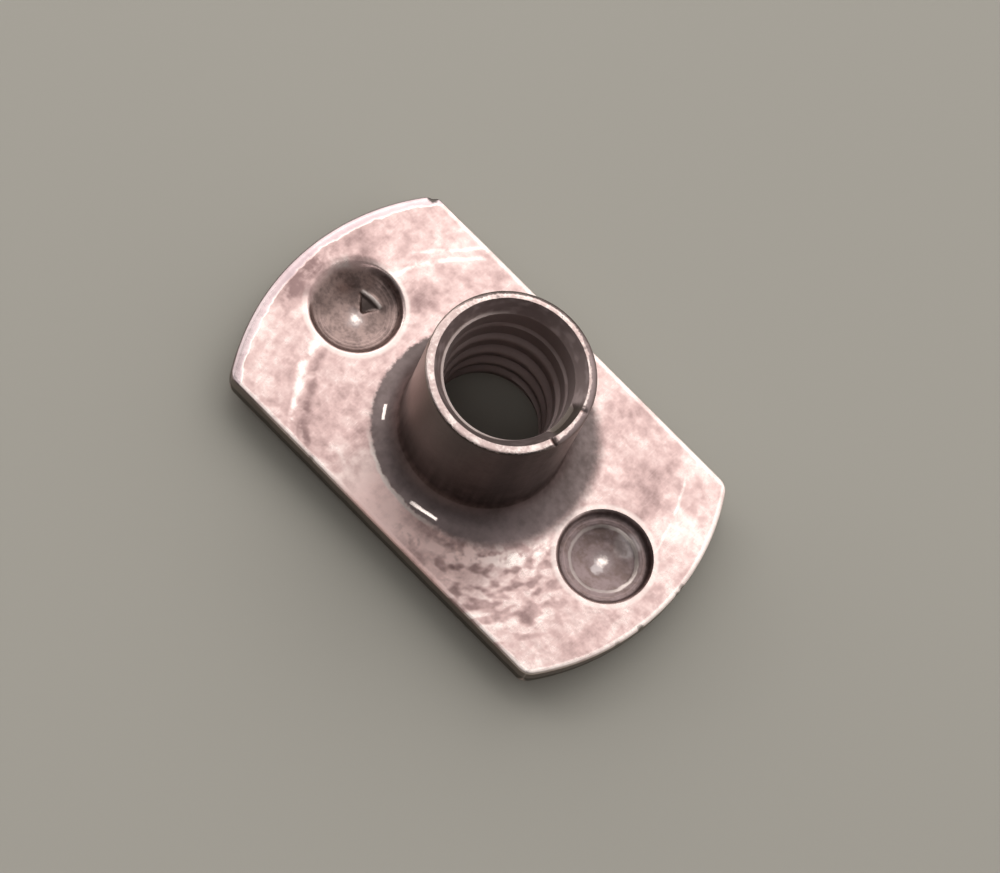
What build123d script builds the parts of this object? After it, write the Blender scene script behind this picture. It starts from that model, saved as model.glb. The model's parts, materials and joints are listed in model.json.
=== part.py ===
from build123d import *
import os

# Weld nut drawn and pierced from one strip of sheet steel, sizes in millimetres.
# The origin is on the thread axis, in the plane of the two projection tips that meet the
# sheet it is welded to. +Z runs up the barrel and +X along the flange.

# Flange: a round blank with two parallel flats
flange_length = 23.8
flange_width = 13.7
sheet_thickness = 1.4
flange_corner_radius = 0.8
flange_edge_roll = 0.25

# Barrel: the sheet drawn up round the thread, which is left plain at its minor diameter
thread_minor_diameter = 5.1
barrel_wall = 1.42
barrel_height = 8.28
barrel_foot_radius = 1.44
rim_width = 0.42
rim_round = 0.22
mouth_depth = 0.64
bore_taper = 0.48
bore_taper_length = 4.2

# Weld projections on the lower face, and the punch pits above them
projection_end_distance = 3.65
projection_height = 0.7
projection_base_diameter = 4.3
projection_tip_diameter = 2.7
projection_tip_round = 0.4
pit_diameter = 4.4
pit_floor_diameter = 3.2
pit_depth = 0.7
pit_floor_dish = 0.12
pit_edge_roll = 0.2

# How far a cutting body runs past the face that it opens
cut_overrun = 1.0

# Levels along the thread axis
lower_face = projection_height
middle_of_sheet = lower_face + sheet_thickness / 2
upper_face = lower_face + sheet_thickness
rim_face = upper_face + barrel_height

# Radii about the thread axis, and the bend that the flare and the foot share
bore_radius = thread_minor_diameter / 2
barrel_radius = bore_radius + barrel_wall
mouth_radius = barrel_radius - rim_width
taper_radius = bore_radius + bore_taper
flare_radius = barrel_foot_radius + sheet_thickness

# Each projection is placed from its own end of the flange
projection_offset = flange_length / 2 - projection_end_distance


def turned(profile):
    """Solid of a closed half section, drawn as radius across and height up."""
    return revolve(Plane.XZ * make_face(profile), Axis.Z)


def blank():
    """The flat sheet: a disc cut off along two flats, with its four corners eased."""
    outline = Circle(flange_length / 2) & Rectangle(flange_length, flange_width)
    outline = fillet(outline.vertices(), flange_corner_radius)
    return Pos(0, 0, lower_face) * extrude(outline, sheet_thickness)


def projection():
    """The button pushed out below the sheet, with a flat tip and a rounded tip edge."""
    base_radius = projection_base_diameter / 2
    tip_radius = projection_tip_diameter / 2
    section = Polyline(
        (0, middle_of_sheet),
        (base_radius, middle_of_sheet),
        (base_radius, lower_face),
        (tip_radius, 0),
        (0, 0),
        close=True,
    )
    return fillet(turned(section).edges().sort_by(Axis.Z)[0], projection_tip_round)


def pit():
    """The mark of the punch above a projection: a sloping wall round a dished floor."""
    mouth_edge = pit_diameter / 2
    floor = upper_face - pit_depth
    above = upper_face + cut_overrun
    section = Polyline(
        (0, floor - pit_floor_dish),
        (pit_floor_diameter / 2, floor),
        (mouth_edge, upper_face),
        (mouth_edge, above),
        (0, above),
        close=True,
    )
    return turned(section)


def flange():
    """The blank with its projections and pits, and the rolled edges that punching leaves."""
    sheet = blank()
    for side in (-1, 1):
        place = Pos(side * projection_offset, 0, 0)
        sheet = sheet + place * projection() - place * pit()
    pit_mouths = sheet.faces().sort_by(Axis.Z)[-1].inner_wires().edges()
    sheet = fillet(pit_mouths, pit_edge_roll)
    outer_edge = sheet.faces().sort_by(Axis.Z)[-1].outer_wire().edges()
    return fillet(outer_edge, flange_edge_roll)


def barrel():
    """The drawn tube as a full body: a concave foot on the flange and a rounded rim."""
    foot_edge = barrel_radius + barrel_foot_radius
    foot_top = upper_face + barrel_foot_radius
    rim_start = rim_face - rim_round
    rim_edge = barrel_radius - rim_round
    foot = TangentArc((foot_edge, upper_face), (barrel_radius, foot_top), tangent=(-1, 0))
    rim = TangentArc((barrel_radius, rim_start), (rim_edge, rim_face), tangent=(0, 1))
    inside = Polyline(rim @ 1, (0, rim_face), (0, lower_face), (foot_edge, lower_face), foot @ 0)
    return turned([foot, Line(foot @ 1, rim @ 0), rim, inside])


def bore():
    """The cut through the barrel: the lower flare, the thread's wall and the countersunk mouth.

    Drawing the barrel thins its wall towards the rim, so the upper part of the bore is a taper.
    """
    flare_edge = bore_radius + flare_radius
    flare_top = lower_face + flare_radius
    mouth_foot = rim_face - mouth_depth
    taper_foot = mouth_foot - bore_taper_length
    below = lower_face - cut_overrun
    above = rim_face + cut_overrun
    flare = TangentArc((flare_edge, lower_face), (bore_radius, flare_top), tangent=(-1, 0))
    wall = Polyline(flare @ 1, (bore_radius, taper_foot), (taper_radius, mouth_foot))
    mouth = Polyline(wall @ 1, (mouth_radius, rim_face), (mouth_radius, above), (0, above))
    inside = Polyline(mouth @ 1, (0, below), (flare_edge, below), flare @ 0)
    return turned([flare, wall, mouth, inside])


weld_nut = flange() + barrel() - bore()

os.makedirs("parts", exist_ok=True)
export_step(weld_nut, "parts/weld_nut.step")
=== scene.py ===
import json
import math

import bmesh
import bpy
import numpy as np
from mathutils import Matrix, Vector, noise
from mathutils.geometry import delaunay_2d_cdt


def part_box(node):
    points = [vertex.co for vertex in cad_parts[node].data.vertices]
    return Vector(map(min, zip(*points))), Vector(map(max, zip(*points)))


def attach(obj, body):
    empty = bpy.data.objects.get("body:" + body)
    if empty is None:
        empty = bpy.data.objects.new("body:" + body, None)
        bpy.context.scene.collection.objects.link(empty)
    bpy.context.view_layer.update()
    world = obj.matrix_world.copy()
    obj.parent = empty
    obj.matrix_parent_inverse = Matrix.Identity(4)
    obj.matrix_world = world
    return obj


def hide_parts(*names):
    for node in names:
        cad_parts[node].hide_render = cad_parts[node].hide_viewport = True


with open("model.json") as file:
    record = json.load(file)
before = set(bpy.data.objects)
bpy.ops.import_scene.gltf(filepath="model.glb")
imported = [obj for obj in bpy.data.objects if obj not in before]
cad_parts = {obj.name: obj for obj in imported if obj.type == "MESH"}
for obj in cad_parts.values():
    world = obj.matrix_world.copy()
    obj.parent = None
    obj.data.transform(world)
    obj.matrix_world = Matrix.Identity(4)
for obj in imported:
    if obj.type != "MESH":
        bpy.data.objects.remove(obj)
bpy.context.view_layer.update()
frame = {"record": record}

# Lengths are in millimetres, and become metres where a mesh, a lamp or the camera is made.
# +Z runs up the barrel from the plane of the weld projections, and +X runs along the flange.
# A name that ends in _band is a pair: where a share starts to rise from 0, and where it is 1.
# A name that ends in _side is a direction from the thread axis, then such a pair of cosines.
MM = 0.001

# Sizes that the solid and its mounts give
low_corner, high_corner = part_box("weld_nut")
mounts = {mount["name"]: mount for mount in frame["record"]["mounts"]}
flange_length = (high_corner.x - low_corner.x) / MM
flange_width = (high_corner.y - low_corner.y) / MM
rim_face = high_corner.z / MM
lower_face = mounts["weld_face"]["pos_m"][2] / MM
projection_offset = mounts["projection_tip_right"]["pos_m"][0] / MM
thread_minor_radius = mounts["thread"]["dims"]["r_mm"]

# Flange. Its punched edge is upright under the roll, then breaks off and leans inward.
sheet_thickness = 1.4
flange_corner_radius = 0.8
flange_edge_roll = 0.09
fracture_start_share = 0.45
fracture_insets = (0.025, 0.05, 0.08)
upper_face = lower_face + sheet_thickness

# Barrel, its foot on the flange and its rim, whose outer edge is rounder on one side
barrel_wall = 1.42
barrel_radius = thread_minor_radius + barrel_wall
barrel_foot_radius = 1.44
foot_edge_radius = barrel_radius + barrel_foot_radius
foot_top = upper_face + barrel_foot_radius
rim_width = 0.42
rim_round_least = 0.11
rim_round_most = 0.27
rim_round_turn = math.radians(85)
rim_round_band = (-0.6, 0.6)

# Mouth, with a ledge at its foot that is widest on one side
mouth_radius = barrel_radius - rim_width
mouth_depth = 0.64
mouth_foot = rim_face - mouth_depth
mouth_ledge = 0.11
mouth_ledge_least_share = 0.25
mouth_ledge_drop = 0.03
mouth_ledge_turn = math.radians(-135)
mouth_ledge_band = (-0.2, 0.7)
# Where the tap tore the foot of the mouth: how wide, in which direction and how far round
tear_width = 0.2
tear_turn = math.radians(6)
tear_band = (math.cos(math.radians(18)), math.cos(math.radians(12)))

# Bore, which widens towards the mouth, and its right-hand thread of 20 turns to the inch
bore_taper = 0.48
bore_taper_length = 4.2
taper_radius = thread_minor_radius + bore_taper
thread_pitch = 1.27
thread_major_radius = 3.175
thread_flank_angle = math.radians(30)
thread_root_flat_share = 0.125
thread_edge_ease = 0.06
thread_run_out = 2.4
thread_run_out_depth = 0.22

# The bend under the barrel, which runs out into the lower face
flare_radius = barrel_foot_radius + sheet_thickness
flare_edge_radius = thread_minor_radius + flare_radius
flare_top = lower_face + flare_radius
bore_end_height = 0.9
bore_lower_end = lower_face + bore_end_height

# Punch pits above and weld projections below, as radius from their own centre and depth or height
left_pit_profile = ((0.0, 0.8), (0.5, 0.77), (1.2, 0.66), (1.75, 0.5), (2.02, 0.36), (2.26, 0.0))
left_pit_soft_profile = (
    (0.0, 0.8),
    (0.5, 0.74),
    (1.0, 0.6),
    (1.5, 0.38),
    (2.0, 0.15),
    (2.3, 0.04),
    (2.6, 0.0),
)
right_pit_profile = (
    (0.0, 0.62),
    (0.12, 0.62),
    (0.9, 0.57),
    (1.5, 0.46),
    (1.66, 0.36),
    (2.06, 0.31),
    (2.16, 0.2),
    (2.27, 0.0),
)
projection_profile = ((0.0, lower_face), (1.0, lower_face), (1.3, 0.62), (2.15, 0.0))
pit_ease = 0.14
pit_ease_samples = 16
pit_reach = 2.9
# The side of the left pit whose edge is soft, as a direction from the pit's own centre
left_lip_toward = (-0.96, 0.28)
left_lip_band = (0.2, 0.9)
left_lip_distance_band = (0.3, 1.5)

# A gouge on the floor of the left pit: the ends of its raised side, then the corner it falls to
gouge_start = (-8.87, 0.92)
gouge_end = (-7.42, 1.0)
gouge_corner = (-8.0, 0.04)
gouge_depth = 0.26
gouge_start_share = 0.3
gouge_lip = 0.1
gouge_side_width = 0.2
gouge_burr = 0.06

# Wear. The sheet is uneven from the rolls, and its left end slopes off where the die bent it.
uneven_depth = 0.012
uneven_size = 2.4
dimple_depth = 0.004
dimple_size = 0.8
uneven_edge_band = (0.0, 0.8)
uneven_foot_band = (foot_edge_radius, foot_edge_radius + 0.7)
end_slope_band = (11.45, flange_length / 2 + 0.2)
end_slope_drop = 0.09
# Chips on the outline, as place, reach and depth
outline_chips = (
    ((-9.8, 6.72), 0.32, 0.12),
    ((11.78, 1.64), 0.18, 0.05),
    ((11.85, 1.24), 0.14, 0.04),
    ((11.83, -1.24), 0.2, 0.06),
    ((11.6, -2.6), 0.16, 0.03),
    ((-4.4, -6.85), 0.16, 0.03),
)
# Nicks on the rim, as degrees round it, width and depth, and flakes off its outer edge
rim_nicks = ((-14.6, 0.07, 0.13), (18.0, 0.09, 0.1), (146.0, 0.06, 0.03), (68.0, 0.12, -0.03))
rim_wear_band = (rim_face - 0.18, rim_face)
rim_flake_depth = 0.09
rim_flake_size = 0.35
rim_flake_turn = math.radians(140)
rim_flake_least_share = 0.25
rim_flake_spread = 0.1
rim_flake_height = 0.5
rim_flake_radius = mouth_radius + rim_width / 3

# Spacing of the mesh
turn_segments = 300
thread_rows_per_turn = 14
flange_mesh_step = 0.15
underside_mesh_step = 0.32
pit_mesh_step = 0.08
edge_mesh_step = 0.1
corner_steps = 10
roll_loops = 6
sheared_rows = 2
foot_loops = 13
wall_rows = 21
rim_round_loops = 7
rim_flat_rows = 3
mouth_rows = 6
flare_loops = 14
ring_points_least = 6
ring_step_share = 0.7
mesh_gap_share = 0.6
triangle_tolerance = 1e-6
weld_distance = 0.0005
sharp_angle = math.radians(38)


class Value:
    """A number that varies over a surface or a mesh. Operators on it add Math nodes."""

    def __init__(self, graph, socket):
        self.graph = graph
        self.socket = socket

    def __add__(self, other):
        return self.graph.math("ADD", self, other)

    def __sub__(self, other):
        return self.graph.math("SUBTRACT", self, other)

    def __rsub__(self, other):
        return self.graph.math("SUBTRACT", other, self)

    def __mul__(self, other):
        return self.graph.math("MULTIPLY", self, other)

    def __truediv__(self, other):
        return self.graph.math("DIVIDE", self, other)

    def __abs__(self):
        return self.graph.math("ABSOLUTE", self)

    __radd__ = __add__
    __rmul__ = __mul__


class Graph:
    """Fills a node tree of a material, a mesh or the room."""

    def __init__(self, tree):
        self.tree = tree
        tree.nodes.clear()

    def add(self, kind, settings=None, sockets=None):
        """One node: its settings first, then a number, a colour or a link for each socket."""
        node = self.tree.nodes.new(kind)
        for name, setting in (settings or {}).items():
            setattr(node, name, setting)
        for name, given in (sockets or {}).items():
            if isinstance(given, Value):
                given = given.socket
            if isinstance(given, bpy.types.NodeSocket):
                self.tree.links.new(given, node.inputs[name])
            else:
                node.inputs[name].default_value = given
        return node

    def value(self, node, output=0):
        return Value(self, node.outputs[output])

    def math(self, operation, *numbers):
        sockets = dict(enumerate(numbers))
        return self.value(self.add("ShaderNodeMath", {"operation": operation}, sockets))

    def least(self, first, second):
        return self.math("MINIMUM", first, second)

    def most(self, first, second):
        return self.math("MAXIMUM", first, second)

    def root(self, number):
        return self.math("SQRT", number)

    def within(self, number, low, high):
        """The number, kept from going below low or above high."""
        return self.least(self.most(number, low), high)

    def split(self, vector):
        node = self.add("ShaderNodeSeparateXYZ", None, {"Vector": vector})
        return [self.value(node, axis) for axis in "XYZ"]

    def join(self, x, y, z):
        return self.value(self.add("ShaderNodeCombineXYZ", None, {"X": x, "Y": y, "Z": z}))

    def rise(self, number, low, high):
        """0 below low, 1 above high and a smooth rise between them; it falls where high is lower."""
        sockets = {"Value": number, "From Min": low, "From Max": high}
        return self.value(self.add("ShaderNodeMapRange", {"interpolation_type": "SMOOTHSTEP"}, sockets))

    def stretch(self, vector, scale):
        """The vector with each axis scaled by its own number."""
        sockets = {0: vector, 1: scale}
        return self.value(self.add("ShaderNodeVectorMath", {"operation": "MULTIPLY"}, sockets))

    def cloud(self, vector, size, detail=1.0, roughness=0.5):
        """Noise from 0 to 1 with patches of about the given size."""
        sockets = {"Vector": vector, "Scale": 1 / size, "Detail": detail, "Roughness": roughness}
        return self.value(self.add("ShaderNodeTexNoise", None, sockets), "Fac")

    def distance(self, vector, place):
        sockets = {0: vector, 1: place}
        return self.value(self.add("ShaderNodeVectorMath", {"operation": "DISTANCE"}, sockets), "Value")

    def tint(self, factor, first, second):
        """The first colour where the factor is 0, the second where it is 1."""
        sockets = {0: factor, 6: first, 7: second}
        return self.value(self.add("ShaderNodeMix", {"data_type": "RGBA"}, sockets), 2)


class Shell:
    """Points and faces, gathered patch by patch into one skin."""

    def __init__(self):
        self.points = []
        self.faces = []

    def add(self, points, faces):
        start = len(self.points)
        self.points.extend(tuple(map(float, point)) for point in points)
        self.faces.extend([start + int(corner) for corner in face] for face in faces)

    def add_loops(self, loops):
        """Closed loops of as many points each, joined one to the next by a band of faces."""
        count = len(loops[0])
        faces = []
        for row in range(len(loops) - 1):
            base = row * count
            for here in range(count):
                after = (here + 1) % count
                upper = (base + count + after, base + count + here)
                faces.append((base + here, base + after, *upper))
        self.add([point for loop in loops for point in loop], faces)


def heading(turn):
    """Direction from the thread axis at the given angle from +X."""
    return math.cos(turn), math.sin(turn)


def even_turns(count):
    """Angles of so many points spread evenly round a circle."""
    return np.arange(count) * (2 * math.pi / count)


def turned_loop(radius, height):
    """A circle about the thread axis. Radius and height may be one for each point."""
    turns = even_turns(turn_segments)
    radii = np.broadcast_to(radius, turns.shape)
    heights = np.broadcast_to(height, turns.shape)
    return np.column_stack((radii * np.cos(turns), radii * np.sin(turns), heights))


def flange_outline():
    """Points round the blank and the outward direction at each: arcs, eased corners and flats."""
    end_radius = flange_length / 2
    corner_y = flange_width / 2 - flange_corner_radius
    corner_x = math.sqrt((end_radius - flange_corner_radius) ** 2 - corner_y**2)
    end_turn = math.atan2(corner_y, corner_x)
    quarter, half = math.pi / 2, math.pi
    corners = flange_corner_radius
    arcs = (
        ((0, 0), end_radius, -end_turn, end_turn),
        ((corner_x, corner_y), corners, end_turn, quarter),
        ((-corner_x, corner_y), corners, quarter, half - end_turn),
        ((0, 0), end_radius, half - end_turn, half + end_turn),
        ((-corner_x, -corner_y), corners, half + end_turn, half + quarter),
        ((corner_x, -corner_y), corners, half + quarter, 2 * half - end_turn),
    )
    points, outward = [], []
    for index, (centre, radius, start, end) in enumerate(arcs):
        steps = max(corner_steps, round(radius * (end - start) / edge_mesh_step))
        turns = np.linspace(start, end, steps, endpoint=False)
        directions = np.column_stack((np.cos(turns), np.sin(turns)))
        points.extend(np.array(centre) + radius * directions)
        outward.extend(directions)
        last_direction = np.array(heading(end))
        last = np.array(centre) + radius * last_direction
        next_centre, next_radius, next_start, _ = arcs[(index + 1) % len(arcs)]
        following = np.array(next_centre) + next_radius * np.array(heading(next_start))
        flat_steps = round(float(np.linalg.norm(following - last)) / edge_mesh_step)
        for step in range(flat_steps):
            points.append(last + (following - last) * step / flat_steps)
            outward.append(last_direction)
    return np.array(points), np.array(outward)


def eased_profile(stations, ease):
    """A function of radius through the stations, with its corners rounded over the ease."""
    radii, heights = zip(*stations)
    fine_step = ease / pit_ease_samples
    fine = np.arange(-radii[-1] - 2 * ease, radii[-1] + 2 * ease, fine_step)
    sharp = np.interp(np.abs(fine), radii, heights)
    window = np.hanning(pit_ease_samples + 2)
    smooth = np.convolve(sharp, window / window.sum(), mode="same")
    return lambda radius: np.interp(radius, fine, smooth)


pit_depths = {
    -1: eased_profile(left_pit_profile, pit_ease),
    1: eased_profile(right_pit_profile, pit_ease),
}
left_pit_soft_depth = eased_profile(left_pit_soft_profile, pit_ease)
projection_height_at = eased_profile(projection_profile, pit_ease)


def offset_from(points, side):
    """Distance of each point from the axis of the pit and projection at that end."""
    return np.hypot(points[:, 0] - side * projection_offset, points[:, 1])


def eased_step(numbers, low, high):
    """0 below low, 1 above high and a smooth rise between them; it falls where high is lower."""
    share = np.clip((numbers - low) / (high - low), 0, 1)
    return share * share * (3 - 2 * share)


def left_lip(points):
    """1 on the side of the left pit whose edge is soft, 0 where it is crisp."""
    away = points - np.array((-projection_offset, 0))
    distance = np.maximum(np.hypot(away[:, 0], away[:, 1]), pit_mesh_step)
    facing = eased_step(away @ np.array(left_lip_toward) / distance, *left_lip_band)
    return facing * eased_step(distance, *left_lip_distance_band)


def gouge_frame():
    """The gouge's two directions, its length, its span and where along it the far corner lies."""
    start, end, corner = map(np.array, (gouge_start, gouge_end, gouge_corner))
    length = float(np.linalg.norm(end - start))
    along = (end - start) / length
    across = np.array((along[1], -along[0]))
    return along, across, length, float((corner - start) @ across), float((corner - start) @ along)


def gouge(points):
    """Depth of a three-cornered dig with steep sides, and the burr along its long side."""
    along, across, length, span, corner_along = gouge_frame()
    u = (points - np.array(gouge_start)) @ along
    v = (points - np.array(gouge_start)) @ across
    bow = np.sin(math.pi * np.clip(u / length, 0, 1))
    v = v + gouge_lip * bow
    share = np.clip(v / span, 0, 1)
    inside = eased_step(u - corner_along * share, 0, gouge_side_width)
    inside *= eased_step(length + (corner_along - length) * share - u, 0, gouge_side_width)
    inside *= eased_step(v, 0, gouge_lip)
    burr = np.exp(-(((v + gouge_lip) / gouge_lip) ** 2)) * bow
    depth = gouge_depth * (gouge_start_share + (1 - gouge_start_share) * share)
    return depth * inside - gouge_burr * burr


def upper_height(points):
    height = np.full(len(points), upper_face)
    soft = left_lip(points)
    from_left = offset_from(points, -1)
    height -= (1 - soft) * pit_depths[-1](from_left) + soft * left_pit_soft_depth(from_left)
    height -= pit_depths[1](offset_from(points, 1))
    return height - gouge(points)


def lower_height(points):
    height = np.full(len(points), lower_face)
    for side in pit_depths:
        height -= projection_height_at(offset_from(points, side))
    return height


def pit_rings(step):
    """Points in rings round the axes of both pits, closer than those of the rest of the face."""
    rings = []
    for side in pit_depths:
        centre = np.array((side * projection_offset, 0))
        rings.append(centre[None, :])
        for radius in np.arange(pit_mesh_step, pit_reach, pit_mesh_step):
            spacing = max(pit_mesh_step, step * ring_step_share)
            turns = even_turns(max(ring_points_least, round(2 * math.pi * radius / spacing)))
            rings.append(centre + radius * np.column_stack((np.cos(turns), np.sin(turns))))
    return np.concatenate(rings)


def sheet_face(outer, inner_radius, height_of, step):
    """A face of the sheet between its outer loop and a circle, with finer rings at both ends."""
    inner = turned_loop(inner_radius, 0)[:, :2]
    rings = pit_rings(step)
    columns = np.arange(-flange_length / 2, flange_length / 2, step)
    rows = np.arange(-flange_width / 2, flange_width / 2, step * math.sqrt(3) / 2)
    grid_x, grid_y = np.meshgrid(columns, rows)
    grid_x[1::2] += step / 2
    grid = np.column_stack((grid_x.ravel(), grid_y.ravel()))
    near_pit = np.minimum(offset_from(grid, -1), offset_from(grid, 1)) < pit_reach
    loose = np.concatenate((rings, grid[~near_pit]))
    gap = step * mesh_gap_share
    from_axis = np.hypot(loose[:, 0], loose[:, 1])
    clear = from_axis > inner_radius + gap
    clear &= from_axis < np.hypot(outer[:, 0], outer[:, 1]).max() - gap
    clear &= np.abs(loose[:, 1]) < outer[:, 1].max() - gap
    points = np.concatenate((outer, inner, loose[clear]))
    edges = []
    for start, count in ((0, len(outer)), (len(outer), len(inner))):
        edges.extend((start + here, start + (here + 1) % count) for here in range(count))
    made = delaunay_2d_cdt([Vector(point) for point in points], edges, [], 2, triangle_tolerance)
    flat = np.array([tuple(point) for point in made[0]])
    hole = inner_radius * math.cos(math.pi / turn_segments)
    faces = [face for face in made[2] if np.hypot(*flat[list(face)].mean(axis=0)) > hole]
    used = sorted({corner for face in faces for corner in face})
    renumber = {corner: place for place, corner in enumerate(used)}
    kept = flat[used]
    solid_points = np.column_stack((kept, height_of(kept)))
    return solid_points, [[renumber[corner] for corner in face] for face in faces]


def add_flange(shell):
    """Both faces of the sheet and its punched edge: a roll, a smooth band and a rougher break."""
    outline, outward = flange_outline()
    turns = np.linspace(0, math.pi / 2, roll_loops)
    insets = list(flange_edge_roll * (1 - np.sin(turns)))
    heights = list(upper_face - flange_edge_roll * (1 - np.cos(turns)))
    fracture_start = lower_face + fracture_start_share * sheet_thickness
    insets += [0.0] * sheared_rows
    heights += list(np.linspace(heights[-1], fracture_start, sheared_rows + 1)[1:])
    insets += fracture_insets
    heights += list(np.linspace(fracture_start, lower_face, len(fracture_insets) + 1)[1:])
    loops = [
        np.column_stack((outline - inset * outward, np.full(len(outline), height)))
        for inset, height in zip(insets, heights)
    ]
    shell.add_loops(loops)
    shell.add(*sheet_face(loops[0][:, :2], foot_edge_radius, upper_height, flange_mesh_step))
    shell.add(*sheet_face(loops[-1][:, :2], flare_edge_radius, lower_height, underside_mesh_step))


def add_barrel(shell):
    """The outside of the drawn tube, from its foot on the flange over the rim to the mouth."""
    loops = []
    for turn in np.linspace(0, math.pi / 2, foot_loops):
        radius = foot_edge_radius - barrel_foot_radius * math.sin(turn)
        loops.append(turned_loop(radius, upper_face + barrel_foot_radius * (1 - math.cos(turn))))
    for height in np.linspace(foot_top, rim_face - rim_round_most, wall_rows + 1)[1:]:
        loops.append(turned_loop(barrel_radius, height))
    around = even_turns(turn_segments)
    lean = eased_step(np.cos(around - rim_round_turn), *rim_round_band)
    rounding = rim_round_least + (rim_round_most - rim_round_least) * lean
    for turn in np.linspace(0, math.pi / 2, rim_round_loops):
        radii = barrel_radius - rounding * (1 - math.cos(turn))
        loops.append(turned_loop(radii, rim_face - rounding * (1 - math.sin(turn))))
    flat_edge = barrel_radius - rounding
    for share in np.linspace(0, 1, rim_flat_rows + 1)[1:]:
        loops.append(turned_loop(flat_edge + (mouth_radius - flat_edge) * share, rim_face))
    ledge = eased_step(np.cos(around - mouth_ledge_turn), *mouth_ledge_band)
    ledge = mouth_ledge * (mouth_ledge_least_share + (1 - mouth_ledge_least_share) * ledge)
    tear = tear_width * eased_step(np.cos(around - tear_turn), *tear_band)
    ledge_radius = taper_radius + ledge + tear
    ledge_height = mouth_foot + mouth_ledge_drop
    for share in np.linspace(0, 1, mouth_rows + 1)[1:]:
        radius = mouth_radius + (ledge_radius - mouth_radius) * share
        loops.append(turned_loop(radius, rim_face + (ledge_height - rim_face) * share))
    loops.append(turned_loop(taper_radius, mouth_foot))
    shell.add_loops(loops)


def add_flare(shell):
    """The bend under the barrel, from the lower end of the bore to the lower face."""
    start = math.asin((flare_top - bore_lower_end) / flare_radius)
    loops = []
    for turn in np.linspace(start, math.pi / 2, flare_loops):
        radius = flare_edge_radius - flare_radius * math.cos(turn)
        loops.append(turned_loop(radius, flare_top - flare_radius * math.sin(turn)))
    shell.add_loops(loops)


def thread_sizes():
    """The named inputs of the bore's node tree."""
    height_span = mouth_foot - bore_lower_end
    return {
        "Segments": turn_segments,
        "Rows per Turn": thread_rows_per_turn,
        "Turns": math.ceil(height_span / thread_pitch) + 1,
        "Pitch": thread_pitch,
        "Major Radius": thread_major_radius,
        "Minor Radius": thread_minor_radius,
        "Root Flat": thread_pitch * thread_root_flat_share,
        "Flank Slope": 1 / math.tan(thread_flank_angle),
        "Edge Ease": thread_edge_ease,
        "Run-out": thread_run_out,
        "Run-out Depth": thread_run_out_depth,
        "Taper Radius": taper_radius,
        "Taper Slope": bore_taper / bore_taper_length,
        "Flare Radius": flare_radius,
        "Flare Top": flare_top,
        "Lower End": bore_lower_end,
        "Upper End": mouth_foot,
        "Weld Distance": weld_distance,
    }


def thread_place(graph, size):
    """Where a point of the flat grid goes: round the bore along the helix, as far out as the thread."""
    across, along, _ = graph.split(graph.value(graph.add("GeometryNodeInputPosition")))
    turn = across + 0.5
    climb = (along + 0.5) * size["Turns"] + turn - 1
    height = size["Lower End"] + climb * size["Pitch"]
    height = graph.within(height, size["Lower End"], size["Upper End"])
    phase = graph.math("FRACT", height / size["Pitch"] - turn)
    from_root = abs(phase - 0.5) * size["Pitch"]
    flank = graph.most(from_root - size["Root Flat"] / 2, 0)
    cut = size["Major Radius"] - flank * size["Flank Slope"]
    drop = graph.most(size["Flare Top"] - height, 0)
    bend = graph.root(size["Flare Radius"] * size["Flare Radius"] - drop * drop)
    flare = size["Minor Radius"] + size["Flare Radius"] - bend
    below_mouth = size["Upper End"] - height
    plain = graph.most(flare, size["Taper Radius"] - below_mouth * size["Taper Slope"])
    cut = cut - graph.rise(below_mouth, size["Run-out"], 0.0) * size["Run-out Depth"]
    radius = graph.math("SMOOTH_MAX", plain, cut, size["Edge Ease"])
    angle = turn * (2 * math.pi)
    return graph.join(radius * graph.math("COSINE", angle), radius * graph.math("SINE", angle), height)


def thread_tree(sizes):
    """Node tree of the tapped bore, and the identifier of each input."""
    tree = bpy.data.node_groups.new("threaded_bore", "GeometryNodeTree")
    kinds = {int: "NodeSocketInt", float: "NodeSocketFloat"}
    inputs = {name: kinds[type(number)] for name, number in sizes.items()}
    inputs["Steel"] = "NodeSocketMaterial"
    identifiers = {}
    for name, kind in inputs.items():
        identifiers[name] = tree.interface.new_socket(name, in_out="INPUT", socket_type=kind).identifier
    tree.interface.new_socket("Bore", in_out="OUTPUT", socket_type="NodeSocketGeometry")
    graph = Graph(tree)
    given = graph.add("NodeGroupInput")
    size = {name: graph.value(given, name) for name in sizes}
    grid = graph.add(
        "GeometryNodeMeshGrid",
        None,
        {
            "Size X": 1.0,
            "Size Y": 1.0,
            "Vertices X": size["Segments"] + 1,
            "Vertices Y": size["Rows per Turn"] * size["Turns"] + 1,
        },
    )
    moved = graph.add(
        "GeometryNodeSetPosition",
        None,
        {"Geometry": graph.value(grid, "Mesh"), "Position": thread_place(graph, size)},
    )
    welded = graph.add(
        "GeometryNodeMergeByDistance",
        None,
        {"Geometry": graph.value(moved), "Distance": size["Weld Distance"]},
    )
    realized = graph.add("GeometryNodeRealizeInstances", None, {"Geometry": graph.value(welded)})
    finished = graph.add(
        "GeometryNodeSetMaterial",
        None,
        {"Geometry": graph.value(realized), "Material": graph.value(given, "Steel")},
    )
    graph.add("NodeGroupOutput", None, {"Bore": graph.value(finished)})
    return tree, identifiers


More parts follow.
